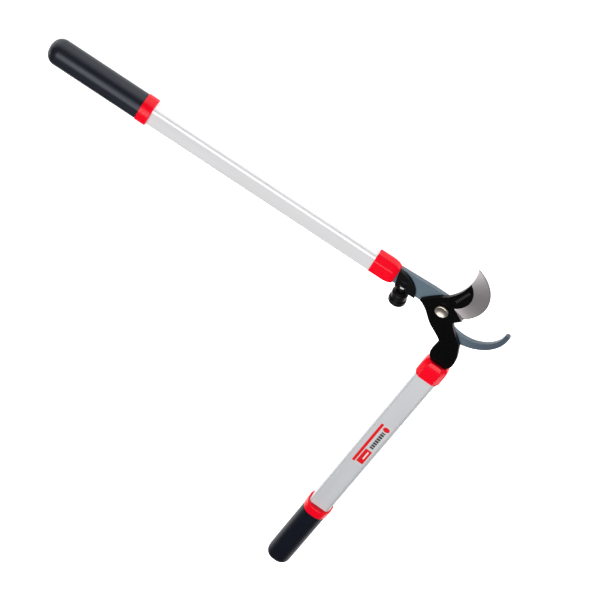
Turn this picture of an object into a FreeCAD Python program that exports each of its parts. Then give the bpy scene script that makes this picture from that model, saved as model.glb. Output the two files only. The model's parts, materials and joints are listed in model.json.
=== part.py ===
"""Bypass loppers: two levers crossing on one pivot bolt, each with a tubular handle.

The tool lies flat. The row frame has its origin on the pivot axis, halfway between the two
sliding faces. +Z is the pivot axis, towards the bolt head. The jaws point along +X, and the
handles spread symmetrically about -X, the hook handle on the +Y side.

The levers are drawn first in a drawing frame that has the hook handle straight along -X, and
everything is turned into the row frame as it is written. All sizes are millimetres.
"""

import FreeCAD, Part
import math
import os

from FreeCAD import Vector

# ---------------------------------------------------------------- driving dimensions

# Levels through the thickness, from the sliding plane at z = 0. Cutters run CUT_PAST beyond a face.
RUN_GAP = 0.3
CUT_PAST = 1.0
BLADE_THICK = 5.0
HOOK_THICK = 5.5
BLADE_LOW = RUN_GAP / 2
BLADE_TOP = BLADE_LOW + BLADE_THICK
HOOK_TOP = -RUN_GAP / 2
HOOK_LOW = HOOK_TOP - HOOK_THICK

# Pivot.
BOLT_R = 5.0
BOLT_POINT = 0.6
BOLT_PAST_NUT = 1.0
RUNNING_FIT = 0.05
BUSH_R = 6.5
BUSH_FLANGE_R = 8.4
BUSH_FLANGE = 0.8
HEAD_R = 9.05
HEAD_THICK = 2.8
HEAD_BREAK = 1.0
HEAD_RIM = 0.35
HEAD_DISH_R = 6.9
HEAD_DISH = 1.3
WASHER_R = 10.5
WASHER_THICK = 1.5
NUT_FLATS = 16.0
NUT_THICK = 6.5
NUT_CORNER_R = 9.4
NUT_BREAK = 0.8
NUT_COLLAR_R = 7.5
NYLON_R = 6.6
NYLON_THICK = 2.2
NYLON_LIP = 0.4
HOOK_BOSS_R = 20.5

# Blade: the cutting edge and the ground bevel are arcs about one centre.
BEVEL_CENTRE = Vector(-12.0, 41.0, 0)
EDGE_R = 55.6
BEVEL_R = 34.9
EDGE_LAND = 0.35
BEVEL_PAST = 6.0
WINDOW_WIDE = 120.0
WINDOW_HIGH = 130.0
TIP_ANGLE = 69.35
HEEL_ANGLE = -43.9
SHOULDER_ANGLE = -49.9

# Hook: a crescent between two arcs, blunt at its tip.
HOOK_INNER_CENTRE = Vector(40.1, 17.2, 0)
HOOK_INNER_R = 42.4
HOOK_OUTER_CENTRE = Vector(32.3, 15.9, 0)
HOOK_OUTER_R = 56.9
HOOK_TIP_ROUND = Vector(-2.7, 4.6, 0)
HOOK_TIP_ANGLE = 0.0
HOOK_THROAT_ANGLE = -130.0
HOOK_BELLY_ANGLE = -140.0

# Handles. Along a handle, s runs from the ferrule's head end towards the grip.
HANDLES_APART = 87.4
HOOK_HANDLE_HEAD = 72.0
HOOK_HANDLE_OFFSET = -4.25
BLADE_HANDLE_HEAD = 85.5
BLADE_HANDLE_OFFSET = 39.4
TUBE_WIDE = 30.6
TUBE_DEEP = 19.8
TUBE_CORNER = 5.0
TUBE_WALL = 2.0
FERRULE_WIDE = 35.7
FERRULE_DEEP = 25.0
FERRULE_CUT = 7.6
FERRULE_HEAD = 0.78
FERRULE_SHOULDER = 0.94
FERRULE_BREAK = 5.4
FERRULE_TAPER = 12.0
FERRULE_LENGTH = 33.5
COLLAR_START = 366.0
COLLAR_LENGTH = 15.5
COLLAR_PROUD = 1.0
COLLAR_ROUND = 1.5
GRIP_WIDE = 34.6
GRIP_DEEP = 32.6
GRIP_CORNER = 14.0
GRIP_LENGTH = 137.0
GRIP_END_ROUND = 15.0
GRIP_START = COLLAR_START + COLLAR_LENGTH
GRIP_CAP = 17.0
TUBE_END = GRIP_START + GRIP_LENGTH - GRIP_CAP
TANG_WIDE = 21.0
TANG_LENGTH = 58.0
TANG_ROOT = 6.0
TANG_ROUND = 5.0
TANG_PLAY = 1.0
INSERT_LENGTH = 64.0
RIVET_R = 2.5
RIVET_PLACES = (17.5, 28.0)

# Buffer: a rubber drum on a stud that leans towards the jaws. Along the stud, 0 is the arm's edge.
ARM_EDGE = -12.2
BUFFER_ROOT = Vector(-56.8, ARM_EDGE, 0)
BUFFER_LEAN = 7.0
BUFFER_FLANGE_R = 11.8
BUFFER_RING_R = 10.8
BUFFER_WAIST_R = 9.4
BUFFER_NECK_R = 7.0
BUFFER_RING_LOW = 3.5
BUFFER_ROUND = 1.2
BUFFER_WAIST_DEPTH = 8.8
BUFFER_FLANGE_DEPTH = 6.4
BUFFER_END = 24.2
STUD_R = 2.5
STUD_END = BUFFER_END - 6.0
STUD_DEPTH = 13.0
STUD_SLOT = 5.6
STUD_LUG_R = 5.4
STUD_LUG_DEPTH = 15.0
STUD_LUG_END = 3.0
LUG_REACH = 10.0
STUD_NUT_FLATS = 8.0
STUD_NUT_THICK = 4.0
STUD_NUT_START = -6.6
STUD_NUT_PLAY = 0.2

# Moulded bolsters, label.
BOLSTER_R = 34.6
BOLSTER_DROP = 5.0
BOLSTER_THICK = 4.0
BOLSTER_SLANT = 4.5
BOLSTER_ROUND = 1.2
FOOT_LEFT = -11.6
FOOT_RIGHT = 11.4
LABEL_START = 148.0
LABEL_LENGTH = 99.0
LABEL_WIDE = 18.0
LABEL_OFFSET = 1.0
LABEL_THICK = 0.15
LABEL_ROUND = 1.5

# The bisector of the two handles is turned onto -X.
ROW_TURN = -HANDLES_APART / 2

UP = Vector(0, 0, 1)

# Two places closer than this are the same.
SAME = 0.01


# ---------------------------------------------------------------- small helpers


def polar(centre, radius, degrees):
    """Point at an angle on a circle in the drawing plane."""
    angle = math.radians(degrees)
    return centre + Vector(radius * math.cos(angle), radius * math.sin(angle), 0)


def line(start, end):
    return Part.makeLine(start, end)


def arc(start, middle, end):
    return Part.Arc(start, middle, end).toShape()


def circle_arc(centre, radius, from_degrees, to_degrees):
    """Arc on a circle, from one angle to another, either way round."""
    middle = (from_degrees + to_degrees) / 2
    return arc(
        polar(centre, radius, from_degrees),
        polar(centre, radius, middle),
        polar(centre, radius, to_degrees),
    )


def spline(points):
    curve = Part.BSplineCurve()
    curve.interpolate(points)
    return curve.toShape()


def plate(edges, low, top):
    """Flat plate between two levels, from edges that run round its outline in order."""
    face = Part.Face(Part.Wire(edges))
    face.translate(Vector(0, 0, low))
    return face.extrude(Vector(0, 0, top - low))


def disc(radius, low, top, centre=Vector(0, 0, 0)):
    return Part.makeCylinder(radius, top - low, centre + Vector(0, 0, low))


def hexagon(flats, low, top):
    """Hexagonal prism about the Z axis."""
    corner_r = flats / math.sqrt(3)
    points = [polar(Vector(0, 0, 0), corner_r, 30 + 60 * i) for i in range(7)]
    face = Part.Face(Part.makePolygon(points))
    face.translate(Vector(0, 0, low))
    return face.extrude(Vector(0, 0, top - low))


def turned(profile):
    """Solid of revolution about Z from (radius, height) points."""
    points = [Vector(r, 0, z) for r, z in profile]
    face = Part.Face(Part.makePolygon(points + points[:1]))
    return face.revolve(Vector(0, 0, 0), UP, 360)


def rounded_section(wide, deep, corner, s):
    """Rounded rectangle across a handle, at s along it: a closed wire."""
    y = wide / 2
    z = deep / 2
    k = corner * (1 - math.sqrt(0.5))
    edges = []
    for sy, sz in ((1, 1), (-1, 1), (-1, -1), (1, -1)):
        first = Vector(s, sy * y, sz * (z - corner))
        middle = Vector(s, sy * (y - k), sz * (z - k))
        last = Vector(s, sy * (y - corner), sz * z)
        if sy * sz < 0:
            first, last = last, first
        edges.append((first, middle, last))
    outline = []
    for i, (first, middle, last) in enumerate(edges):
        outline.append(arc(first, middle, last))
        outline.append(line(last, edges[(i + 1) % 4][0]))
    return Part.Wire(outline)


def bar(wide, deep, corner, start, end):
    """Rounded rectangular bar along a handle."""
    face = Part.Face(rounded_section(wide, deep, corner, start))
    return face.extrude(Vector(end - start, 0, 0))


def octagon(wide, deep, cut, s):
    """Rectangle with cut corners across a handle, at s along it: a closed wire."""
    y = wide / 2
    z = deep / 2
    quarter = [(y, z - cut), (y - cut, z)]
    points = list(quarter)
    points += [(-a, b) for a, b in reversed(quarter)]
    points += [(-a, -b) for a, b in quarter]
    points += [(a, -b) for a, b in reversed(quarter)]
    corners = [Vector(s, a, b) for a, b in points]
    return Part.makePolygon(corners + corners[:1])


def edges_along(shape, direction, tolerance=0.999):
    """Straight edges parallel to a direction."""
    found = []
    for edge in shape.Edges:
        if not isinstance(edge.Curve, Part.Line):
            continue
        if abs(edge.tangentAt(edge.FirstParameter).dot(direction)) > tolerance:
            found.append(edge)
    return found


def edges_at_level(shape, level):
    """Edges that lie in one horizontal plane."""
    found = []
    for edge in shape.Edges:
        box = edge.BoundBox
        if abs(box.ZMin - level) < SAME and abs(box.ZMax - level) < SAME:
            found.append(edge)
    return found


def place_on_handle(shape, side):
    """Move a shape from handle coordinates to the drawing frame."""
    angle, head, offset = HANDLE_PLACES[side]
    placed = shape.copy()
    placed.translate(Vector(head, offset, 0))
    placed.rotate(Vector(0, 0, 0), UP, angle)
    return placed


def place_on_buffer(shape):
    """Move a shape turned about Z so that +Z runs out of the arm along the stud."""
    placed = shape.copy()
    placed.rotate(Vector(0, 0, 0), Vector(1, 0, 0), 90)
    placed.rotate(Vector(0, 0, 0), UP, BUFFER_LEAN)
    placed.translate(BUFFER_ROOT)
    return placed


HANDLE_PLACES = {
    "hook": (180.0, HOOK_HANDLE_HEAD, HOOK_HANDLE_OFFSET),
    "blade": (180.0 + HANDLES_APART, BLADE_HANDLE_HEAD, BLADE_HANDLE_OFFSET),
}


# ---------------------------------------------------------------- levers


def tang(side, low, top):
    """Flat tongue that runs from the lever into the tube."""
    corner = Vector(-TANG_ROOT, -TANG_WIDE / 2, low)
    tongue = Part.makeBox(TANG_LENGTH + TANG_ROOT, TANG_WIDE, top - low, corner)
    tongue = tongue.makeFillet(TANG_ROUND, [e for e in edges_along(tongue, UP) if e.Vertexes[0].X > 0])
    for s in RIVET_PLACES:
        tongue = tongue.cut(disc(RIVET_R, low - CUT_PAST, top + CUT_PAST, Vector(s, 0, 0)))
    return place_on_handle(tongue, side)


def hook_lever():
    """Hook, pivot boss and arm in one flat forging, slotted at its lower edge for the buffer stud."""
    tip_outer = polar(HOOK_OUTER_CENTRE, HOOK_OUTER_R, HOOK_TIP_ANGLE)
    tip_inner = polar(HOOK_INNER_CENTRE, HOOK_INNER_R, HOOK_TIP_ANGLE)
    tip_top = tip_outer + HOOK_TIP_ROUND
    throat = polar(HOOK_INNER_CENTRE, HOOK_INNER_R, HOOK_THROAT_ANGLE)
    belly = polar(HOOK_OUTER_CENTRE, HOOK_OUTER_R, HOOK_BELLY_ANGLE)
    boss_top = Vector(-3, 20.0, 0)
    boss_side = Vector(HOOK_BOSS_R, 0, 0)
    arm_top = Vector(-HOOK_HANDLE_HEAD, 17.5, 0)
    arm_bend = Vector(-22, 20.2, 0)
    arm_low = Vector(-HOOK_HANDLE_HEAD, ARM_EDGE, 0)
    arm_knee = Vector(-31, ARM_EDGE, 0)
    outline = [
        circle_arc(HOOK_OUTER_CENTRE, HOOK_OUTER_R, HOOK_BELLY_ANGLE, HOOK_TIP_ANGLE),
        arc(tip_outer, tip_top, tip_inner),
        circle_arc(HOOK_INNER_CENTRE, HOOK_INNER_R, HOOK_TIP_ANGLE, HOOK_THROAT_ANGLE),
        arc(throat, boss_side, boss_top),
        line(boss_top, arm_bend),
        line(arm_bend, arm_top),
        line(arm_top, arm_low),
        line(arm_low, arm_knee),
        line(arm_knee, belly),
    ]
    lever = plate(outline, HOOK_LOW, HOOK_TOP)
    lever = lever.fuse(tang("hook", HOOK_LOW, HOOK_TOP)).removeSplitter()
    lever = lever.cut(stud_slot()).cut(nut_pocket())
    return lever.cut(disc(BOLT_R, HOOK_LOW - CUT_PAST, HOOK_TOP + CUT_PAST))


def blade_outline():
    """Blade, pivot boss, waisted arm and wide strike end, clockwise from the tip."""
    tip = polar(BEVEL_CENTRE, EDGE_R, TIP_ANGLE)
    heel = polar(BEVEL_CENTRE, EDGE_R, HEEL_ANGLE)
    armpit = Vector(19.9, -8.6, 0)
    arm_right = [Vector(24.3, -16.8, 0), Vector(33.4, -27.6, 0)]
    shoulder = Vector(43.5, -38.5, 0)
    strike_right = [Vector(47.6, -51.0, 0), Vector(50.6, -62.0, 0)]
    end_right = Vector(51.4, -72.5, 0)
    round_right = Vector(50.2, -81.5, 0)
    round_left = Vector(18.9, -79.8, 0)
    end_left = Vector(17.1, -70.0, 0)
    notch = Vector(18.7, -49.8, 0)
    arm_left = [Vector(8.6, -41.3, 0), Vector(-4.2, -31.8, 0), Vector(-15.6, -18.6, 0)]
    corner_low = Vector(-30.4, -6.9, 0)
    corner = Vector(-30.9, -6.1, 0)
    corner_high = Vector(-30.2, -5.2, 0)
    boss_rim = Vector(-18.4, 10.6, 0)
    spine_end = Vector(-3.4, 25.9, 0)
    spine = [Vector(4.3, 40.6, 0), Vector(9.9, 62.0, 0), Vector(10.6, 76.0, 0)]
    foot_left = place_point("blade", 0.0, FOOT_LEFT)
    foot_right = place_point("blade", 0.0, FOOT_RIGHT)
    return [
        circle_arc(BEVEL_CENTRE, EDGE_R, TIP_ANGLE, HEEL_ANGLE),
        line(heel, armpit),
        spline([armpit] + arm_right + [shoulder]),
        spline([shoulder] + strike_right + [end_right]),
        arc(end_right, round_right, foot_right),
        line(foot_right, foot_left),
        arc(foot_left, round_left, end_left),
        line(end_left, notch),
        spline([notch] + arm_left + [corner_low]),
        arc(corner_low, corner, corner_high),
        arc(corner_high, boss_rim, spine_end),
        spline([spine_end] + spine + [tip]),
    ]


def place_point(side, s, y):
    """Drawing-frame point at s along a handle and y across it."""
    return place_on_handle(Part.Vertex(s, y, 0), side).Point


def bevel_cutter():
    """Material ground off the blade: a shallow cone about the bevel centre, ended at a shoulder."""
    slope = (BLADE_THICK - EDGE_LAND) / (EDGE_R - BEVEL_R)
    rim = EDGE_R + BEVEL_PAST
    profile = [
        Vector(BEVEL_R, 0, BLADE_TOP),
        Vector(rim, 0, BLADE_LOW + EDGE_LAND - BEVEL_PAST * slope),
        Vector(rim, 0, BLADE_TOP + CUT_PAST),
        Vector(BEVEL_R, 0, BLADE_TOP + CUT_PAST),
    ]
    face = Part.Face(Part.makePolygon(profile + profile[:1]))
    ring = face.revolve(Vector(0, 0, 0), UP, 360)
    ring.translate(BEVEL_CENTRE)
    heel = polar(BEVEL_CENTRE, EDGE_R, HEEL_ANGLE)
    root = polar(BEVEL_CENTRE, BEVEL_R, SHOULDER_ANGLE)
    along = (heel - root).normalize()
    inner = root - along * BEVEL_PAST
    outer = heel + along * 2 * BEVEL_PAST
    far = Vector(WINDOW_WIDE, 0, 0)
    rise = Vector(-BEVEL_R, WINDOW_HIGH, 0)
    keep = Part.makePolygon([inner, outer, outer + far, inner + far + rise, inner + rise, inner])
    window = Part.Face(keep)
    window.translate(Vector(0, 0, BLADE_LOW - BEVEL_PAST))
    return ring.common(window.extrude(Vector(0, 0, BLADE_THICK + 2 * BEVEL_PAST)))


def blade_lever():
    """Cutting blade and arm in one forging, with a ground bevel on its upper face."""
    lever = plate(blade_outline(), BLADE_LOW, BLADE_TOP)
    lever = lever.cut(bevel_cutter())
    lever = lever.fuse(tang("blade", BLADE_LOW, BLADE_TOP)).removeSplitter()
    return lever.cut(disc(BUSH_R, BLADE_LOW - CUT_PAST, BLADE_TOP + CUT_PAST))


# ---------------------------------------------------------------- pivot


def pivot_bolt():
    """Round-headed bolt with a dished head; its shank is the journal for the blade."""
    seat = BLADE_TOP + BUSH_FLANGE + RUN_GAP
    top = seat + HEAD_THICK
    floor = top - HEAD_RIM
    end = HOOK_LOW - WASHER_THICK - NUT_THICK - BOLT_PAST_NUT
    body = turned([(0, end), (BOLT_R - BOLT_POINT, end), (BOLT_R, end + BOLT_POINT), (BOLT_R, seat),
                   (HEAD_R, seat), (HEAD_R, top - HEAD_BREAK), (HEAD_R - HEAD_RIM, floor),
                   (HEAD_R - HEAD_BREAK, top), (HEAD_DISH_R + HEAD_RIM, top),
                   (HEAD_DISH_R - HEAD_RIM, floor), (0, floor)])
    bowl_r = (HEAD_DISH_R ** 2 + HEAD_DISH ** 2) / (2 * HEAD_DISH)
    bowl = Part.makeSphere(bowl_r, Vector(0, 0, floor - HEAD_DISH + bowl_r))
    return body.cut(bowl)


def pivot_bush():
    """Flanged bush pressed into the blade; its flange runs under the bolt head."""
    bore = BOLT_R + RUNNING_FIT
    top = BLADE_TOP + BUSH_FLANGE
    return turned([(bore, BLADE_LOW), (BUSH_R, BLADE_LOW), (BUSH_R, BLADE_TOP),
                   (BUSH_FLANGE_R, BLADE_TOP), (BUSH_FLANGE_R, top), (bore, top)])


def pivot_washer():
    """Plain washer under the nut."""
    low = HOOK_LOW - WASHER_THICK
    return disc(WASHER_R, low, HOOK_LOW).cut(disc(BOLT_R, low - CUT_PAST, HOOK_LOW + CUT_PAST))


def pivot_nut():
    """Self-locking nut: a hexagon with a round collar that holds the nylon ring."""
    top = HOOK_LOW - WASHER_THICK
    low = top - NUT_THICK
    step = low + NYLON_THICK
    body = hexagon(NUT_FLATS, step, top)
    body = body.common(turned([(0, low), (NUT_FLATS / 2, step - NYLON_LIP),
                               (NUT_CORNER_R, step + NUT_BREAK), (NUT_CORNER_R, top - NUT_BREAK),
                               (NUT_FLATS / 2, top), (0, top)]))
    body = body.fuse(disc(NUT_COLLAR_R, low, step)).removeSplitter()
    body = body.cut(disc(NYLON_R, low + NYLON_LIP, step))
    return body.cut(disc(BOLT_R, low - CUT_PAST, top + CUT_PAST))


def nut_ring():
    """Nylon ring inside the nut's collar."""
    low = HOOK_LOW - WASHER_THICK - NUT_THICK + NYLON_LIP
    top = low + NYLON_THICK - NYLON_LIP
    return disc(NYLON_R, low, top).cut(disc(BOLT_R, low - CUT_PAST, top + CUT_PAST))


# ---------------------------------------------------------------- buffer


def stud_slot():
    """Slot in the arm's edge that the stud lies in."""
    corner = Vector(-STUD_SLOT / 2, -LUG_REACH, -STUD_DEPTH)
    slot = Part.makeBox(STUD_SLOT, 2 * LUG_REACH, STUD_DEPTH + LUG_REACH, corner)
    return place_on_buffer(slot)


def nut_pocket():
    """Pocket for the captive nut, open towards the bolt-head side."""
    half = STUD_NUT_FLATS / math.sqrt(3) + STUD_NUT_PLAY
    floor = STUD_NUT_FLATS / 2 + STUD_NUT_PLAY
    long = STUD_NUT_THICK + 2 * STUD_NUT_PLAY
    corner = Vector(-half, -floor, STUD_NUT_START - STUD_NUT_PLAY)
    return place_on_buffer(Part.makeBox(2 * half, floor + LUG_REACH, long, corner))


def buffer():
    """Rubber drum: a ring, a waist and a thicker end flange, moulded on the stud."""
    r = BUFFER_FLANGE_R
    end = BUFFER_END
    neck = STUD_LUG_END
    ring_low = neck + BUFFER_RING_LOW
    waist = end - BUFFER_WAIST_DEPTH
    flange = end - BUFFER_FLANGE_DEPTH
    drum = turned([(0, neck), (BUFFER_NECK_R, neck),
                   (BUFFER_RING_R - BUFFER_ROUND, ring_low - BUFFER_ROUND),
                   (BUFFER_RING_R, ring_low), (BUFFER_RING_R, waist - BUFFER_ROUND),
                   (BUFFER_WAIST_R, waist), (BUFFER_WAIST_R, flange - BUFFER_ROUND),
                   (r - BUFFER_ROUND / 2, flange - BUFFER_ROUND / 2), (r, flange),
                   (r, end - BUFFER_ROUND), (r - BUFFER_ROUND, end), (0, end)])
    drum = drum.cut(disc(STUD_R, neck - CUT_PAST, STUD_END))
    return place_on_buffer(drum)


def buffer_stud():
    """Threaded stud bonded into the drum, screwed into the captive nut."""
    return place_on_buffer(disc(STUD_R, -STUD_DEPTH, STUD_END))


def buffer_nut():
    """Captive nut on the stud, one flat towards the bolt-head side."""
    low = STUD_NUT_START
    nut = hexagon(STUD_NUT_FLATS, low, low + STUD_NUT_THICK)
    nut.rotate(Vector(0, 0, 0), UP, 30)
    return place_on_buffer(nut.cut(disc(STUD_R, low - CUT_PAST, low + STUD_NUT_THICK + CUT_PAST)))


# ---------------------------------------------------------------- handles


def ferrule(side, low, top):
    """Moulded end sleeve: an eight-sided sleeve, tapered towards the lever."""
    sections = []
    for size, s in ((FERRULE_HEAD, 0.0), (FERRULE_SHOULDER, FERRULE_BREAK), (1.0, FERRULE_TAPER)):
        sections.append(octagon(FERRULE_WIDE * size, FERRULE_DEEP * size, FERRULE_CUT * size, s))
    cone = Part.makeLoft(sections, True, True)
    sleeve = Part.Face(sections[-1]).extrude(Vector(FERRULE_LENGTH - FERRULE_TAPER, 0, 0))
    body = cone.fuse(sleeve)
    body = body.cut(bar(TUBE_WIDE, TUBE_DEEP, TUBE_CORNER, FERRULE_TAPER, FERRULE_LENGTH + CUT_PAST))
    corner = Vector(-CUT_PAST, -TANG_WIDE / 2, low)
    slot = Part.makeBox(FERRULE_TAPER + 2 * CUT_PAST, TANG_WIDE, top - low, corner)
    return place_on_handle(body.cut(slot), side)


def tube(side):
    """Drawn aluminium tube, drilled for the rivets."""
    body = bar(TUBE_WIDE, TUBE_DEEP, TUBE_CORNER, FERRULE_TAPER, TUBE_END)
    inner = bar(TUBE_WIDE - 2 * TUBE_WALL, TUBE_DEEP - 2 * TUBE_WALL, TUBE_CORNER - TUBE_WALL,
                FERRULE_TAPER - CUT_PAST, TUBE_END + CUT_PAST)
    body = body.cut(inner)
    for s in RIVET_PLACES:
        body = body.cut(disc(RIVET_R, -TUBE_DEEP, TUBE_DEEP, Vector(s, 0, 0)))
    return place_on_handle(body, side)


def tang_insert(side, low, top):
    """Moulded packing that fills the tube around the tang."""
    body = bar(TUBE_WIDE - 2 * TUBE_WALL, TUBE_DEEP - 2 * TUBE_WALL, TUBE_CORNER - TUBE_WALL,
               FERRULE_TAPER, INSERT_LENGTH)
    corner = Vector(-CUT_PAST, -TANG_WIDE / 2, low)
    body = body.cut(Part.makeBox(TANG_LENGTH + TANG_PLAY, TANG_WIDE, top - low, corner))
    for s in RIVET_PLACES:
        body = body.cut(disc(RIVET_R, -TUBE_DEEP, TUBE_DEEP, Vector(s, 0, 0)))
    return place_on_handle(body, side)


def tang_rivets(side):
    """Two rivets through tube, packing and tang, finished flush under the ferrule."""
    half = TUBE_DEEP / 2
    pins = [disc(RIVET_R, -half, half, Vector(s, 0, 0)) for s in RIVET_PLACES]
    return place_on_handle(Part.makeCompound(pins), side)


def collar(side):
    """Coloured ring at the head end of the grip."""
    body = bar(GRIP_WIDE + 2 * COLLAR_PROUD, GRIP_DEEP + 2 * COLLAR_PROUD, GRIP_CORNER + COLLAR_PROUD,
               COLLAR_START, GRIP_START)
    body = body.makeFillet(COLLAR_ROUND, [e for e in body.Edges if e.BoundBox.XMax < COLLAR_START + SAME])
    bore = bar(TUBE_WIDE, TUBE_DEEP, TUBE_CORNER, COLLAR_START - CUT_PAST, GRIP_START + CUT_PAST)
    return place_on_handle(body.cut(bore), side)


def grip(side):
    """Soft moulded grip, closed and rounded at its end."""
    end = GRIP_START + GRIP_LENGTH
    body = bar(GRIP_WIDE, GRIP_DEEP, GRIP_CORNER, GRIP_START, end)
    body = body.makeFillet(GRIP_END_ROUND, [e for e in body.Edges if e.BoundBox.XMin > end - SAME])
    bore = bar(TUBE_WIDE, TUBE_DEEP, TUBE_CORNER, GRIP_START - CUT_PAST, TUBE_END)
    return place_on_handle(body.cut(bore), side)


def tube_label():
    """Thin plain label on the upper flat of the blade handle's tube."""
    low = TUBE_DEEP / 2
    start = Vector(LABEL_START, LABEL_OFFSET - LABEL_WIDE / 2, low)
    sheet = Part.makeBox(LABEL_LENGTH, LABEL_WIDE, LABEL_THICK, start)
    sheet = sheet.makeFillet(LABEL_ROUND, edges_along(sheet, UP))
    return place_on_handle(sheet, "blade")


# ---------------------------------------------------------------- bolsters


def hook_bolster():
    """Moulded quarter-round pad on the hook's arm, with a lug round the buffer stud and its nut."""
    centre = Vector(-HOOK_HANDLE_HEAD, ARM_EDGE - BOLSTER_DROP, 0)
    low_angle = math.degrees(math.asin((ARM_EDGE - centre.y) / BOLSTER_R))
    rim_low = polar(centre, BOLSTER_R, low_angle)
    rim_high = polar(centre, BOLSTER_R, 90)
    corner = Vector(centre.x + BOLSTER_SLANT, ARM_EDGE, 0)
    pad = plate([circle_arc(centre, BOLSTER_R, low_angle, 90), line(rim_high, corner),
                 line(corner, rim_low)], HOOK_TOP, HOOK_TOP + BOLSTER_THICK)
    pad = pad.makeFillet(BOLSTER_ROUND, edges_at_level(pad, HOOK_TOP + BOLSTER_THICK))
    arm_corner = Vector(-HOOK_HANDLE_HEAD, ARM_EDGE, HOOK_TOP - LUG_REACH)
    arm = Part.makeBox(BOLSTER_R, BOLSTER_R, LUG_REACH, arm_corner)
    lug = place_on_buffer(disc(STUD_LUG_R, -STUD_LUG_DEPTH, STUD_LUG_END)).cut(arm)
    body = pad.fuse(lug).removeSplitter()
    body = body.cut(place_on_buffer(disc(STUD_R, -STUD_DEPTH, STUD_LUG_END + CUT_PAST)))
    return body.cut(nut_pocket())


def blade_bolster():
    """Matching pad under the wide end of the blade's arm."""
    foot_left = place_point("blade", 0.0, FOOT_LEFT)
    foot_right = place_point("blade", 0.0, FOOT_RIGHT)
    rim_high = Vector(20.0, -52.0, 0)
    rim_low = Vector(18.2, -72.0, 0)
    outline = [
        arc(foot_right, Vector(45.0, -61.0, 0), rim_high),
        line(rim_high, rim_low),
        line(rim_low, foot_left),
        line(foot_left, foot_right),
    ]
    return plate(outline, BLADE_LOW - BOLSTER_THICK, BLADE_LOW)


# ---------------------------------------------------------------- writing


def write(name, shape):
    """Turn a shape into the row frame and write it."""
    turned_shape = shape.copy()
    turned_shape.rotate(Vector(0, 0, 0), UP, ROW_TURN)
    turned_shape.exportStep("parts/" + name + ".step")


def all_parts():
    levels = {"hook": (HOOK_LOW, HOOK_TOP), "blade": (BLADE_LOW, BLADE_TOP)}
    parts = {
        "hook_lever": hook_lever(),
        "blade_lever": blade_lever(),
        "pivot_bolt": pivot_bolt(),
        "pivot_bush": pivot_bush(),
        "pivot_washer": pivot_washer(),
        "pivot_nut": pivot_nut(),
        "nut_ring": nut_ring(),
        "hook_bolster": hook_bolster(),
        "blade_bolster": blade_bolster(),
        "buffer": buffer(),
        "buffer_stud": buffer_stud(),
        "buffer_nut": buffer_nut(),
        "tube_label": tube_label(),
    }
    for side, (low, top) in levels.items():
        parts[side + "_ferrule"] = ferrule(side, low, top)
        parts[side + "_tube"] = tube(side)
        parts[side + "_tang_insert"] = tang_insert(side, low, top)
        parts[side + "_tang_rivets"] = tang_rivets(side)
        parts[side + "_collar"] = collar(side)
        parts[side + "_grip"] = grip(side)
    return parts


os.makedirs("parts", exist_ok=True)
for part_name, part_shape in all_parts().items():
    write(part_name, part_shape)
    print(part_name, len(part_shape.Solids), part_shape.isValid(), round(part_shape.Volume / 1000, 2))
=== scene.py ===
"""Looks of the bypass loppers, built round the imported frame. Lengths are metres unless a comment says mm."""

import json
import math

import bmesh
import bpy
from mathutils import Matrix, Vector

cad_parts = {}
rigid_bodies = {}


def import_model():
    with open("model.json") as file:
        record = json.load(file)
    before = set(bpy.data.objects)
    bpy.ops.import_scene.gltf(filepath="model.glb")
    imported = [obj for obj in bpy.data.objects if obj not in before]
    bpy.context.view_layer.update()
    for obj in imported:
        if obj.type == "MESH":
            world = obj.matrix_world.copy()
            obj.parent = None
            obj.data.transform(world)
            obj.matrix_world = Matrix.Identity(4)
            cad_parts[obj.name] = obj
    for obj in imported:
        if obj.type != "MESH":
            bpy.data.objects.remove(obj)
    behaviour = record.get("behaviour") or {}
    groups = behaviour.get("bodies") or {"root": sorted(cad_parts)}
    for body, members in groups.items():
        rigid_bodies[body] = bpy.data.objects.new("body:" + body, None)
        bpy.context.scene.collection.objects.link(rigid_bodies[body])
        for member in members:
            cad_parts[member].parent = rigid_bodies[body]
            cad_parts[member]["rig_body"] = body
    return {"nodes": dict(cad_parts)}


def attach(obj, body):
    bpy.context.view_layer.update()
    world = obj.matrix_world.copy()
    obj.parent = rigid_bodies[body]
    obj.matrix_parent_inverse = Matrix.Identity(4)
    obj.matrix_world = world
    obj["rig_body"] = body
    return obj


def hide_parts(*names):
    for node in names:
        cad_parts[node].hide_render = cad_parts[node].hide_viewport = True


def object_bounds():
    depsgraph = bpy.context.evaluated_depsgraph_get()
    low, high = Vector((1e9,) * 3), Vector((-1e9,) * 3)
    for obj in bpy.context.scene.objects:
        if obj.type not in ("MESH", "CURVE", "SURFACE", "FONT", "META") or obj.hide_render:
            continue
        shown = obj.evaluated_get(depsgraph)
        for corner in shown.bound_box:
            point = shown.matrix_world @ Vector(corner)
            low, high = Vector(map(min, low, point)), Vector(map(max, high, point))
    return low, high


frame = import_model()
cad_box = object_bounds()

MM = 0.001

# ---------------------------------------------------------------- places shared with the CAD
# The CAD is drawn with the hook handle along -X, and is then turned so that the jaws face +X.
HANDLES_APART = 87.4
HALF_OPEN = math.radians(HANDLES_APART / 2)
ROW_TURN = Matrix.Rotation(-HALF_OPEN, 4, "Z")
# For each handle: its angle in the drawing, and the start and the offset of its own axis.
HANDLE_PLACES = {
    "hook": (180.0, 72.0, -4.25),
    "blade": (180.0 + HANDLES_APART, 85.5, 39.4),
}
# The blade, in drawing mm: the centre of its edge's arc, the radius past which a side wall belongs to the
# edge, the middle and the half length of the bevel's shoulder wall, and the height of the upper face.
BEVEL_CENTRE = (-12.0, 41.0)
EDGE_NEAR = 55.2
SHOULDER_MIDDLE = (19.2, 8.6)
SHOULDER_HALF = 12.0
BLADE_TOP = 5.15


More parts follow.
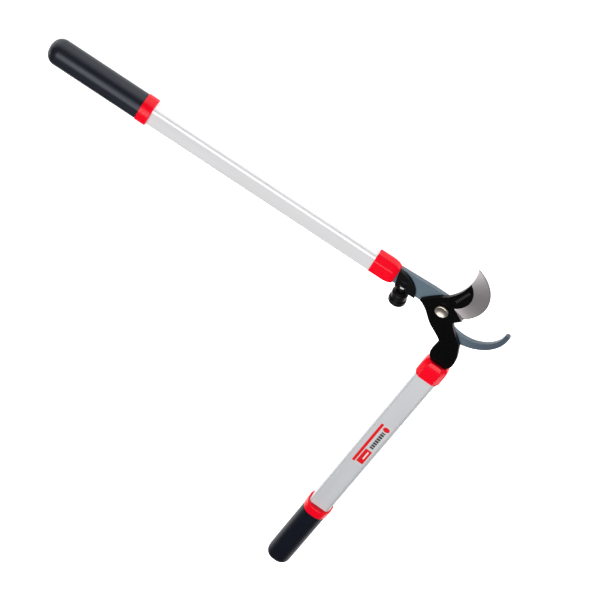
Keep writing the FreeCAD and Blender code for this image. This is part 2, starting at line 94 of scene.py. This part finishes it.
def drawing_point(u, v, z=0.0):
    """Row-frame point, in metres, of a drawing point in mm."""
    return ROW_TURN @ Vector((u * MM, v * MM, z * MM))


def handle_angle(side):
    """Angle of a handle in the frame, in radians."""
    return math.radians(HANDLE_PLACES[side][0] - HANDLES_APART / 2)


# ---------------------------------------------------------------- material nodes


class Finish:
    """A Principled material, with short calls for the nodes that feed it."""

    def __init__(self, name, roughness, metallic=0.0, **sockets):
        self.material = bpy.data.materials.new(name)
        self.material.use_nodes = True
        self.tree = self.material.node_tree
        self.shader = self.tree.nodes["Principled BSDF"]
        self.shader.inputs["Roughness"].default_value = roughness
        self.shader.inputs["Metallic"].default_value = metallic
        for socket, value in sockets.items():
            self.shader.inputs[socket.replace("_", " ")].default_value = value
        self.heights = None

    def node(self, kind, inputs=(), **settings):
        made = self.tree.nodes.new("ShaderNode" + kind)
        for key, value in settings.items():
            setattr(made, key, value)
        for socket, value in dict(inputs).items():
            target = made.inputs[socket]
            if isinstance(value, bpy.types.NodeSocket):
                self.tree.links.new(value, target)
            else:
                target.default_value = value
        return made

    def place(self, scale=(1, 1, 1), turn=0.0, shift=(0, 0, 0)):
        """Object coordinates, turned about Z and shifted, then stretched."""
        source = self.node("TexCoord").outputs["Object"]
        moved = self.node("Mapping", {"Vector": source, "Rotation": (0, 0, turn), "Location": shift})
        return self.node("Mapping", {"Vector": moved.outputs[0], "Scale": scale}).outputs[0]

    def along_handle(self, side, scale=(1, 1, 1)):
        """Handle coordinates: x along the handle from its head, y across it, z up."""
        _, head, offset = HANDLE_PLACES[side]
        return self.place(scale, -handle_angle(side), (-head * MM, -offset * MM, 0))

    def noise(self, vector, scale, detail=3.0, roughness=0.5):
        values = {"Vector": vector, "Scale": scale, "Detail": detail, "Roughness": roughness}
        return self.node("TexNoise", values).outputs["Fac"]

    def remap(self, value, low, high, to_low, to_high, smooth=False):
        values = {"Value": value, "From Min": low, "From Max": high, "To Min": to_low, "To Max": to_high}
        kind = "SMOOTHSTEP" if smooth else "LINEAR"
        return self.node("MapRange", values, interpolation_type=kind).outputs["Result"]

    def math(self, operation, first, second=0.0):
        made = self.node("Math", {0: first, 1: second}, operation=operation)
        return made.outputs[0]

    def inside(self, value, low, high):
        """1 between two limits, 0 outside."""
        above = self.math("GREATER_THAN", value, low)
        return self.math("MULTIPLY", above, self.math("LESS_THAN", value, high))

    def length(self, x, y):
        """Distance from the origin, from two sockets."""
        return self.math("SQRT", self.math("ADD", self.math("MULTIPLY", x, x), self.math("MULTIPLY", y, y)))

    def in_drawing(self, centre=(0.0, 0.0), unit=1.0):
        """Coordinates of the drawing about a point in mm; a unit of MM gives millimetres."""
        return self.place((1 / unit, 1 / unit, 1 / unit), HALF_OPEN, (-centre[0] * MM, -centre[1] * MM, 0))

    def split(self, vector):
        return self.node("SeparateXYZ", {"Vector": vector}).outputs

    def mix(self, factor, first, second):
        made = self.node("Mix", {0: factor, 6: first, 7: second}, data_type="RGBA")
        return made.outputs[2]

    def edges(self, radius):
        """1 on flats, less along edges."""
        rounded = self.node("Bevel", {"Radius": radius}, samples=6).outputs[0]
        normal = self.node("NewGeometry").outputs["Normal"]
        return self.node("VectorMath", {0: rounded, 1: normal}, operation="DOT_PRODUCT").outputs["Value"]

    def colour(self, socket):
        self.tree.links.new(socket, self.shader.inputs["Base Color"])

    def roughness(self, socket):
        self.tree.links.new(socket, self.shader.inputs["Roughness"])

    def grain(self, direction):
        """Turns the stretched highlight to a direction given in object coordinates."""
        world = self.node("VectorTransform", {"Vector": direction}, vector_type="VECTOR",
                          convert_from="OBJECT", convert_to="WORLD").outputs[0]
        self.tree.links.new(world, self.shader.inputs["Tangent"])

    def bump(self, height, distance, strength=1.0):
        """Adds a height to the surface; several calls add up."""
        values = {"Height": height, "Distance": distance, "Strength": strength}
        if self.heights is not None:
            values["Normal"] = self.heights
        self.heights = self.node("Bump", values).outputs[0]
        self.tree.links.new(self.heights, self.shader.inputs["Normal"])


def rgb(red, green, blue):
    return (red, green, blue, 1.0)


def red_plastic():
    """Moulded plastic: even colour, a soft shine and a very fine grain."""
    made = Finish("red_plastic", 0.30, Specular_IOR_Level=0.17)
    at = made.place()
    cloud = made.noise(at, 45.0)
    made.colour(made.mix(cloud, rgb(0.70, 0.0004, 0.011), rgb(0.78, 0.0008, 0.015)))
    made.roughness(made.remap(made.noise(at, 300.0), 0.3, 0.7, 0.25, 0.35))
    made.bump(made.noise(at, 2200.0), 0.00003, 0.5)
    return made.material


# Shine of each grip: painted sheen, the same vinyl given a stronger shine on the hook's grip than on the
# blade's.
GRIP_PAINTED_SHEEN = {"hook": 0.32, "blade": 0.08}


def grip_vinyl(side):
    """Dipped vinyl: blue-black, satin, with faint flow marks along the handle, and a per-side shine that is
    painted sheen.
    """
    # Painted sheen: the specular level differs per side so that one grip looks more lit.
    made = Finish("grip_vinyl_" + side, 0.42, Specular_IOR_Level=GRIP_PAINTED_SHEEN[side],
                  Specular_Tint=rgb(0.84, 0.90, 1.0))
    at = made.place()
    long = made.along_handle(side, (12, 160, 160))
    cloud = made.noise(at, 60.0)
    made.colour(made.mix(cloud, rgb(0.0045, 0.0055, 0.0095), rgb(0.0070, 0.0085, 0.0140)))
    made.roughness(made.remap(made.noise(long, 1.0), 0.3, 0.7, 0.36, 0.47))
    made.bump(made.noise(at, 1500.0), 0.00004, 0.5)
    return made.material


# Darkest and lightest tone of each tube. Painted light and shade: the same aluminium is painted lighter on the
# hook's tube than on the blade's.
TUBE_LIT_AND_SHADED_TONES = {
    "hook": (rgb(0.61, 0.61, 0.62), rgb(0.69, 0.69, 0.70)),
    "blade": (rgb(0.470, 0.480, 0.495), rgb(0.530, 0.540, 0.555)),
}


def tube_aluminium(side):
    """Drawn and anodised tube: fine die lines along it, and a per-side tone that is painted light and shade.
    """
    made = Finish("tube_aluminium_" + side, 0.42, 0.3, Anisotropic=0.4)
    lines = made.along_handle(side, (2.0, 900, 900))
    broad = made.along_handle(side, (6.0, 60, 60))
    fine = made.noise(lines, 1.0, 4.0, 0.6)
    # Painted light and shade: each side's tube gets its own lit or shaded tones.
    made.colour(made.mix(fine, *TUBE_LIT_AND_SHADED_TONES[side]))
    made.roughness(made.remap(made.noise(broad, 1.0), 0.3, 0.7, 0.46, 0.56))
    made.bump(fine, 0.00002, 0.25)
    angle = handle_angle(side)
    made.grain(made.node("CombineXYZ", {"X": math.cos(angle), "Y": math.sin(angle), "Z": 0.0}).outputs[0])
    return made.material


# Painted shade: the hook's coat darkens towards its tip: from and to, in drawing mm along the handle's line,
# and how far.
CRESCENT_START = 25.0
CRESCENT_END = 85.0
CRESCENT_PAINTED_SHADE = 0.75


def hook_coat():
    """Blue-grey powder coat with a fine orange peel, rubbed thin along its edges, and painted shade towards
    the hook's tip.
    """
    made = Finish("hook_coat", 0.42, Specular_IOR_Level=0.5)
    at = made.place()
    cloud = made.noise(at, 30.0)
    coat = made.mix(cloud, rgb(0.072, 0.107, 0.138), rgb(0.085, 0.124, 0.157))
    patchy = made.math("MULTIPLY", made.remap(made.edges(0.0006), 0.86, 0.70, 0.0, 1.0),
                       made.remap(made.noise(at, 220.0), 0.45, 0.62, 0.0, 0.55))
    along, _, _ = made.split(made.in_drawing(unit=MM))
    # Painted shade: the coat is mixed towards a darker blue towards the hook's tip.
    painted_tip_shade = made.remap(along, CRESCENT_START, CRESCENT_END, 0.0, CRESCENT_PAINTED_SHADE, smooth=True)
    coat = made.mix(painted_tip_shade, coat, rgb(0.030, 0.046, 0.070))
    made.colour(made.mix(patchy, coat, rgb(0.26, 0.30, 0.33)))
    made.roughness(made.remap(made.noise(at, 400.0), 0.3, 0.7, 0.36, 0.48))
    made.bump(made.noise(at, 900.0), 0.00006, 0.45)
    return made.material


# A row of plain etched ticks on the blade, in drawing mm. The gap is a share of the pitch.
TICKS_START = (7.6, 25.5)
TICKS_ALONG = (8.8, 30.8)
TICK_PITCH = 3.2
TICK_GAP = 0.6
TICK_COUNT = 9
TICK_LENGTH = 3.4
TICK_DEPTH = 0.3


def blade_coat():
    """Gloss black coat with an etched row of plain ticks, and a few rubs along its edges."""
    made = Finish("blade_coat", 0.22, Specular_IOR_Level=0.12)
    at = made.place()
    cloud = made.noise(at, 40.0)
    coat = made.mix(cloud, rgb(0.0010, 0.0010, 0.0012), rgb(0.0020, 0.0020, 0.0022))
    worn = made.math("MULTIPLY", made.remap(made.edges(0.0005), 0.84, 0.66, 0.0, 1.0),
                     made.remap(made.noise(at, 260.0), 0.50, 0.64, 0.0, 0.35))
    coat = made.mix(worn, coat, rgb(0.12, 0.12, 0.125))
    lean = -math.atan2(TICKS_ALONG[1], TICKS_ALONG[0])
    first = Matrix.Rotation(lean, 3, "Z") @ Vector((*TICKS_START, 0))
    settings = {"Vector": made.in_drawing(unit=MM), "Rotation": (0, 0, lean), "Location": -first}
    x, y, z = made.split(made.node("Mapping", settings).outputs[0])
    wave = made.math("PINGPONG", x, TICK_PITCH / 2)
    ticks = made.math("GREATER_THAN", wave, TICK_PITCH * TICK_GAP / 2)
    ticks = made.math("MULTIPLY", ticks, made.inside(x, 0.0, TICK_PITCH * TICK_COUNT))
    ticks = made.math("MULTIPLY", ticks, made.inside(y, -TICK_LENGTH / 2, TICK_LENGTH / 2))
    ticks = made.math("MULTIPLY", ticks, made.math("GREATER_THAN", z, BLADE_TOP - TICK_DEPTH))
    made.colour(made.mix(ticks, coat, rgb(0.055, 0.050, 0.045)))
    made.roughness(made.remap(made.noise(at, 350.0), 0.3, 0.7, 0.18, 0.30))
    made.bump(made.noise(at, 500.0), 0.00001, 0.15)
    return made.material


# The blade's honed strip: its darkening begins and ends at these radii, in mm from the bevel's centre.
HONED_FROM = 54.5
HONED_FULL = 55.1
# Grinding marks: how fast they change across, per metre, and along, per radian.
GRIND_ACROSS = 2600.0
GRIND_ALONG = 40.0


def ground_steel():
    """Bare ground steel: grinding grain that follows the edge, and a darker honed strip."""
    made = Finish("ground_steel", 0.55, 0.9, Anisotropic=0.8)
    at = made.in_drawing(BEVEL_CENTRE)
    x, y, _ = made.split(at)
    radius = made.length(x, y)
    bearing = made.math("ARCTAN2", y, x)
    grain_at = made.node("CombineXYZ", {"X": made.math("MULTIPLY", radius, GRIND_ACROSS),
                                        "Y": made.math("MULTIPLY", bearing, GRIND_ALONG)}).outputs[0]
    grain = made.noise(grain_at, 1.0, 3.0, 0.6)
    speck = made.noise(at, 1400.0)
    both = made.math("ADD", made.math("MULTIPLY", grain, 0.5), made.math("MULTIPLY", speck, 0.5))
    steel = made.mix(both, rgb(0.40, 0.372, 0.376), rgb(0.66, 0.615, 0.62))
    honed = made.remap(radius, HONED_FROM * MM, HONED_FULL * MM, 0.0, 1.0, smooth=True)
    made.colour(made.mix(honed, steel, rgb(0.05, 0.045, 0.05)))
    made.roughness(made.remap(both, 0.3, 0.7, 0.50, 0.60))
    made.bump(grain, 0.00002, 0.35)
    # The highlight stretches across the marks, so it points away from the centre.
    centre = drawing_point(*BEVEL_CENTRE)
    away = made.node("VectorMath", {0: made.place(), 1: centre}, operation="SUBTRACT").outputs[0]
    made.grain(made.node("VectorMath", {0: away}, operation="NORMALIZE").outputs[0])
    return made.material


# Turning marks on small parts: how fast they change outwards, per metre.
TURNING_ACROSS = 3500.0


def plain_metal(name, dark, light, low, high, scale=600.0):
    """Small metal parts: faint mottle and fine turning marks."""
    made = Finish(name, (low + high) / 2, 1.0)
    at = made.place()
    cloud = made.noise(at, scale)
    made.colour(made.mix(cloud, dark, light))
    made.roughness(made.remap(made.noise(at, scale * 1.7), 0.3, 0.7, low, high))
    x, y, _ = made.split(at)
    rings = made.math("MULTIPLY", made.length(x, y), TURNING_ACROSS)
    marks = made.noise(made.node("CombineXYZ", {"X": rings}).outputs[0], 1.0)
    made.bump(marks, 0.00001, 0.3)
    return made.material


def moulded(name, dark, light, low, high, grain=1800.0, depth=0.00004):
    """Plastic or rubber: an even colour with a fine moulded grain."""
    made = Finish(name, (low + high) / 2, Specular_IOR_Level=0.18)
    at = made.place()
    made.colour(made.mix(made.noise(at, 90.0), dark, light))
    made.roughness(made.remap(made.noise(at, 500.0), 0.3, 0.7, low, high))
    made.bump(made.noise(at, grain), depth, 0.3)
    return made.material


# The label's plain print, in mm along and across the handle. The gap is a share of the pitch.
PRINT_BAR = ((150.0, 244.0), (-7.0, -3.0))
PRINT_BLOCK = ((209.5, 241.0), (-1.6, 8.4))
PRINT_BLOCK_LINE = ((213.5, 231.0), (3.4, 5.4))
PRINT_DASHES = ((164.0, 204.0), (0.8, 6.4))
PRINT_DASH_PITCH = 5.4
PRINT_DASH_GAP = 0.25
PRINT_DOT_CENTRE = (156.5, 3.6)
PRINT_DOT_RADIUS = 4.8


def label_film():
    """Silver film printed with a red bar, a red block, a red dot and a row of grey dashes."""
    made = Finish("label_film", 0.36, 0.5)
    x, y, _ = made.split(made.along_handle("blade", (1 / MM, 1 / MM, 1 / MM)))

    def box(span):
        return made.math("MULTIPLY", made.inside(x, *span[0]), made.inside(y, *span[1]))

    dx = made.math("SUBTRACT", x, PRINT_DOT_CENTRE[0])
    dy = made.math("SUBTRACT", y, PRINT_DOT_CENTRE[1])
    dot = made.math("LESS_THAN", made.length(dx, dy), PRINT_DOT_RADIUS)
    red = made.math("MAXIMUM", made.math("MAXIMUM", box(PRINT_BAR), box(PRINT_BLOCK)), dot)
    wave = made.math("PINGPONG", x, PRINT_DASH_PITCH / 2)
    dashes = made.math("GREATER_THAN", wave, PRINT_DASH_PITCH * PRINT_DASH_GAP / 2)
    dashes = made.math("MULTIPLY", box(PRINT_DASHES), dashes)
    film = made.mix(made.noise(made.place(), 300.0), rgb(0.82, 0.83, 0.85), rgb(0.88, 0.88, 0.90))
    inked = made.mix(dashes, film, rgb(0.035, 0.035, 0.035))
    inked = made.mix(red, inked, rgb(0.62, 0.006, 0.010))
    inked = made.mix(box(PRINT_BLOCK_LINE), inked, rgb(0.78, 0.62, 0.62))
    made.colour(inked)
    ink = made.math("MAXIMUM", red, dashes)
    made.tree.links.new(made.remap(ink, 0.0, 1.0, 0.5, 0.0), made.shader.inputs["Metallic"])
    made.roughness(made.remap(made.noise(made.place(), 800.0), 0.3, 0.7, 0.28, 0.40))
    made.bump(made.noise(made.place(), 1500.0), 0.00001, 0.3)
    return made.material


# ---------------------------------------------------------------- pieces


def new_object(name, mesh):
    made = bpy.data.objects.new(name, mesh)
    bpy.context.scene.collection.objects.link(made)
    return made


def baked(obj):
    """The object with its modifiers applied."""
    bpy.context.view_layer.update()
    mesh = bpy.data.meshes.new_from_object(obj.evaluated_get(bpy.context.evaluated_depsgraph_get()))
    obj.modifiers.clear()
    obj.data = mesh
    mesh.name = obj.name
    return obj


# Corners closer than this are one, and faces that differ by less than this angle are one.
SAME_PLACE = 0.002 * MM
SAME_PLANE = math.radians(0.4)


def clean_copy(node):
    """The CAD node's mesh, with its triangles merged back into whole faces."""
    mesh = frame["nodes"][node].data.copy()
    mesh.materials.clear()
    work = bmesh.new()
    work.from_mesh(mesh)
    bmesh.ops.remove_doubles(work, verts=work.verts, dist=SAME_PLACE)
    bmesh.ops.dissolve_limit(work, angle_limit=SAME_PLANE, verts=work.verts, edges=work.edges)
    work.to_mesh(mesh)
    work.free()
    for key in list(mesh.attributes.keys()):
        if key in ("custom_normal", "sharp_face", "sharp_edge"):
            mesh.attributes.remove(mesh.attributes[key])
    return mesh


# Edges sharper than this, in degrees, stay hard in the shading.
HARD_EDGE = 40.0


def softened(node, name, width, materials, segments=3, angle=28.0, pick=None):
    """A copy of a CAD node with rounded edges, which stands for it."""
    mesh = clean_copy(node)
    for material in materials:
        mesh.materials.append(material)
    if pick:
        for face in mesh.polygons:
            face.material_index = pick(face)
    piece = new_object(name, mesh)
    bevel = piece.modifiers.new("edges", "BEVEL")
    bevel.width = width
    bevel.segments = segments
    bevel.limit_method = "ANGLE"
    bevel.angle_limit = math.radians(angle)
    bevel.use_clamp_overlap = False
    bevel.material = -1
    baked(piece)
    piece.data.shade_smooth()
    piece.data.set_sharp_from_angle(angle=math.radians(HARD_EDGE))
    normals = piece.modifiers.new("normals", "WEIGHTED_NORMAL")
    normals.keep_sharp = True
    baked(piece)
    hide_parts(node)
    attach(piece, frame["nodes"][node]["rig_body"])
    return piece


# Upward part of a face's normal: on the ground bevel it lies between the first two, and on a side wall
# it is under the third. The shoulder's wall also faces at least this far along the drawing's u and v.
BEVEL_SLOPE = (0.90, 0.995)
WALL_SLOPE = 0.1
SHOULDER_FACING = (0.4, 0.6)


def is_ground(face):
    """1 for the blade's ground bevel, its shoulder and its edge land, 0 for the coated faces."""
    if BEVEL_SLOPE[0] < face.normal.z < BEVEL_SLOPE[1]:
        return 1
    if abs(face.normal.z) > WALL_SLOPE:
        return 0
    place = ROW_TURN.inverted() @ face.center / MM
    facing = ROW_TURN.inverted() @ face.normal
    away = math.hypot(place.x - BEVEL_CENTRE[0], place.y - BEVEL_CENTRE[1])
    if away > EDGE_NEAR and place.x > 0:
        return 1
    near = math.hypot(place.x - SHOULDER_MIDDLE[0], place.y - SHOULDER_MIDDLE[1]) < SHOULDER_HALF
    return 1 if near and facing.x > SHOULDER_FACING[0] and facing.y > SHOULDER_FACING[1] else 0


red = red_plastic()
vinyl = {side: grip_vinyl(side) for side in HANDLE_PLACES}
aluminium = {side: tube_aluminium(side) for side in HANDLE_PLACES}
coat_hook = hook_coat()
coat_blade = blade_coat()
steel = ground_steel()
bolt_steel = plain_metal("bolt_steel", rgb(0.36, 0.325, 0.275), rgb(0.46, 0.42, 0.36), 0.34, 0.46)
nut_steel = plain_metal("nut_steel", rgb(0.70, 0.69, 0.66), rgb(0.86, 0.85, 0.82), 0.42, 0.56)
zinc_steel = plain_metal("zinc_steel", rgb(0.50, 0.50, 0.50), rgb(0.66, 0.66, 0.67), 0.28, 0.44)
bronze = plain_metal("bush_bronze", rgb(0.42, 0.27, 0.12), rgb(0.56, 0.37, 0.17), 0.26, 0.40)
rivet_metal = plain_metal("rivet_aluminium", rgb(0.60, 0.60, 0.61), rgb(0.72, 0.72, 0.73), 0.30, 0.44)
rubber = moulded("buffer_rubber", rgb(0.002, 0.002, 0.0025), rgb(0.004, 0.004, 0.0045), 0.34, 0.48, 1400.0)
pad_plastic = moulded("bolster_plastic", rgb(0.0015, 0.0015, 0.002), rgb(0.003, 0.003, 0.0035), 0.26, 0.36)
nylon = moulded("nylon", rgb(0.08, 0.16, 0.34), rgb(0.10, 0.20, 0.40), 0.40, 0.50)
packing = moulded("insert_plastic", rgb(0.03, 0.03, 0.03), rgb(0.05, 0.05, 0.05), 0.45, 0.60)

softened("hook_lever", "hook_lever_forging", 0.5 * MM, [coat_hook])
softened("blade_lever", "blade_lever_forging", 0.12 * MM, [coat_blade, steel], pick=is_ground)
softened("pivot_bolt", "pivot_bolt_turned", 0.15 * MM, [bolt_steel], angle=22.0)
softened("pivot_bush", "pivot_bush_turned", 0.12 * MM, [bronze])
softened("pivot_washer", "pivot_washer_pressed", 0.2 * MM, [zinc_steel])
softened("pivot_nut", "pivot_nut_forged", 0.2 * MM, [zinc_steel])
softened("buffer_nut", "buffer_nut_forged", 0.2 * MM, [nut_steel])
softened("buffer", "buffer_drum", 0.5 * MM, [rubber], angle=22.0)
softened("hook_bolster", "hook_bolster_pad", 0.5 * MM, [pad_plastic])
softened("blade_bolster", "blade_bolster_pad", 0.5 * MM, [pad_plastic])
for side in HANDLE_PLACES:
    softened(side + "_ferrule", side + "_ferrule_sleeve", 1.1 * MM, [red],
             segments=4, angle=10.0)
    softened(side + "_collar", side + "_collar_ring", 0.4 * MM, [red])
    softened(side + "_grip", side + "_grip_sleeve", 0.4 * MM, [vinyl[side]])


def paint(node, material):
    """Gives a CAD node that stays its finish."""
    shown = frame["nodes"][node]
    shown.data.materials.clear()
    shown.data.materials.append(material)


for side in HANDLE_PLACES:
    paint(side + "_tube", aluminium[side])
    paint(side + "_tang_insert", packing)
    paint(side + "_tang_rivets", rivet_metal)
paint("tube_label", label_film())
paint("nut_ring", nylon)
paint("buffer_stud", zinc_steel)

# ---------------------------------------------------------------- floor, light and camera

FLOOR_SIZE = 12.0
FLOOR_LEVEL = cad_box[0][2] - 0.2 * MM
FLOOR_GLOW = 1.2
SKY_STRENGTH = 0.07
# The soft box over the loppers: its place and its target in drawing mm, and its size and power.
SOFT_BOX_PLACE = (-200, 0, 1700)
SOFT_BOX_TARGET = (-200, -150)
SOFT_BOX_SIZE = (1.6, 1.6)
SOFT_BOX_POWER = 46.0
# The camera, fitted to the photograph: its place in drawing mm, its axes in the drawing, its lens and its
# sensor in mm, and how far it sees in metres.
CAMERA_PLACE = (-155.8, 2911.9, 2743.9)
CAMERA_RIGHT = (0.83487, 0.36840, -0.40905)
CAMERA_BACK = (0.0, 0.74314, 0.66913)
CAMERA_LENS = 192.0
CAMERA_SENSOR = 36.0
CAMERA_REACH = 60.0


def floor():
    """A pale floor that glows, just under the loppers."""
    finish = Finish("floor_paint", 0.9, Specular_IOR_Level=0.2)
    cloud = finish.noise(finish.place(), 2.0)
    finish.colour(finish.mix(cloud, rgb(0.78, 0.78, 0.785), rgb(0.80, 0.80, 0.805)))
    finish.shader.inputs["Emission Color"].default_value = rgb(1.0, 1.0, 1.0)
    finish.shader.inputs["Emission Strength"].default_value = FLOOR_GLOW
    half = FLOOR_SIZE / 2
    mesh = bpy.data.meshes.new("floor")
    corners = [(-half, -half, 0), (half, -half, 0), (half, half, 0), (-half, half, 0)]
    mesh.from_pydata(corners, [], [(0, 1, 2, 3)])
    mesh.materials.append(finish.material)
    made = new_object("floor", mesh)
    made.location.z = FLOOR_LEVEL


def soft_light(name, place, target, size, power):
    """A rectangular light at a place, turned to a target."""
    light = bpy.data.lights.new(name, "AREA")
    light.shape = "RECTANGLE"
    light.size, light.size_y = size
    light.energy = power
    made = bpy.data.objects.new(name, light)
    bpy.context.scene.collection.objects.link(made)
    made.location = place
    made.rotation_euler = (target - place).to_track_quat("-Z", "Y").to_euler()


def studio():
    """A faint even sky and one large soft box overhead."""
    world = bpy.data.worlds.new("studio")
    world.use_nodes = True
    sky = world.node_tree.nodes["Background"]
    sky.inputs["Color"].default_value = rgb(1.0, 1.0, 1.0)
    sky.inputs["Strength"].default_value = SKY_STRENGTH
    bpy.context.scene.world = world
    place, target = drawing_point(*SOFT_BOX_PLACE), drawing_point(*SOFT_BOX_TARGET)
    soft_light("overhead", place, target, SOFT_BOX_SIZE, SOFT_BOX_POWER)


def camera():
    """Pinhole view of the drawing, from the +V side and above."""
    made = bpy.data.objects.new("camera", bpy.data.cameras.new("camera"))
    bpy.context.scene.collection.objects.link(made)
    made.data.sensor_width = CAMERA_SENSOR
    made.data.lens = CAMERA_LENS
    made.data.clip_end = CAMERA_REACH
    right, back = Vector(CAMERA_RIGHT), Vector(CAMERA_BACK)
    axes = Matrix([right, back.cross(right), back]).transposed().to_4x4()
    made.matrix_world = ROW_TURN @ Matrix.Translation(Vector(CAMERA_PLACE) * MM) @ axes
    bpy.context.scene.camera = made


floor()
studio()
camera()
bpy.context.scene.view_settings.view_transform = "Standard"
